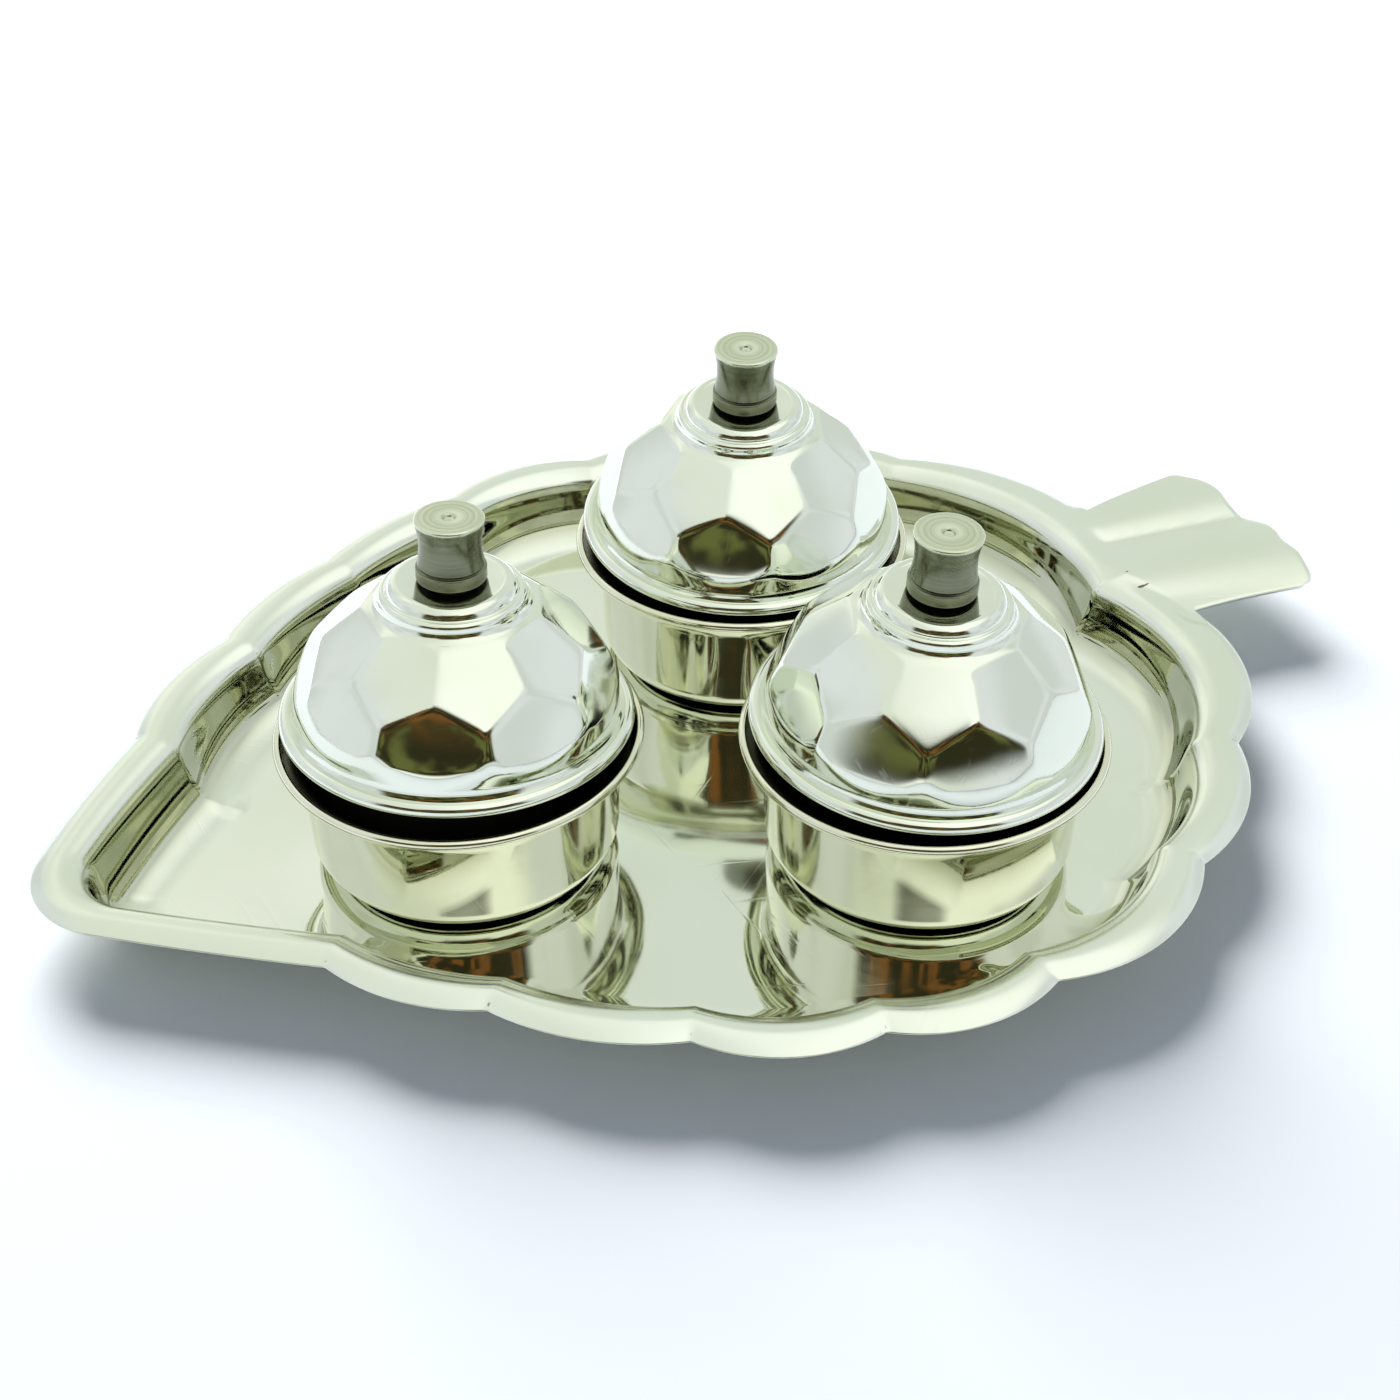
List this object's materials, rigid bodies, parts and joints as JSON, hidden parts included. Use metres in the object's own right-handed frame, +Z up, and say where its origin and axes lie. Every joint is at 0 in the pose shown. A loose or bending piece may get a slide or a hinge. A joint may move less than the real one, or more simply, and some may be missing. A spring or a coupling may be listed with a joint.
{
  "type": "haldi kumkum holder",
  "caption": "Leaf-shaped pressed steel tray with scalloped rim and stem, carrying small riveted cups with faceted lift-off lids and turned knobs.",
  "frame": {"origin": "on the underside of the tray floor, between the three cups", "axes": "+Z up, +X along the leaf towards its stem, the pointed tip at -X"},
  "size_m": [0.2132, 0.1579, 0.057],
  "materials": {
    "tray_steel": "polished pressed sheet",
    "cup_steel": "mirror polished, spun",
    "lid_steel": "mirror polished, faceted",
    "knob_steel": "turned, satin",
    "fastener_steel": "plain bright"
  },
  "bodies": {
    "base": {"tray": "tray_steel", "cup_tip": "cup_steel", "cup_front": "cup_steel", "cup_rear": "cup_steel", "cup_rivet_tip": "fastener_steel", "cup_rivet_front": "fastener_steel", "cup_rivet_rear": "fastener_steel"},
    "lid_tip_body": {"lid_tip": "lid_steel", "knob_tip": "knob_steel", "knob_screw_tip": "fastener_steel", "knob_washer_tip": "fastener_steel"},
    "lid_front_body": {"lid_front": "lid_steel", "knob_front": "knob_steel", "knob_screw_front": "fastener_steel", "knob_washer_front": "fastener_steel"},
    "lid_rear_body": {"lid_rear": "lid_steel", "knob_rear": "knob_steel", "knob_screw_rear": "fastener_steel", "knob_washer_rear": "fastener_steel"}
  },
  "joints": [
    {"name": "lid_tip_lift", "type": "slide", "parent": "base", "child": "lid_tip_body", "axis": [0, 0, 1], "range_m": [0, 0.045]},
    {"name": "lid_front_lift", "type": "slide", "parent": "base", "child": "lid_front_body", "axis": [0, 0, 1], "range_m": [0, 0.045]},
    {"name": "lid_rear_lift", "type": "slide", "parent": "base", "child": "lid_rear_body", "axis": [0, 0, 1], "range_m": [0, 0.045]}
  ]
}
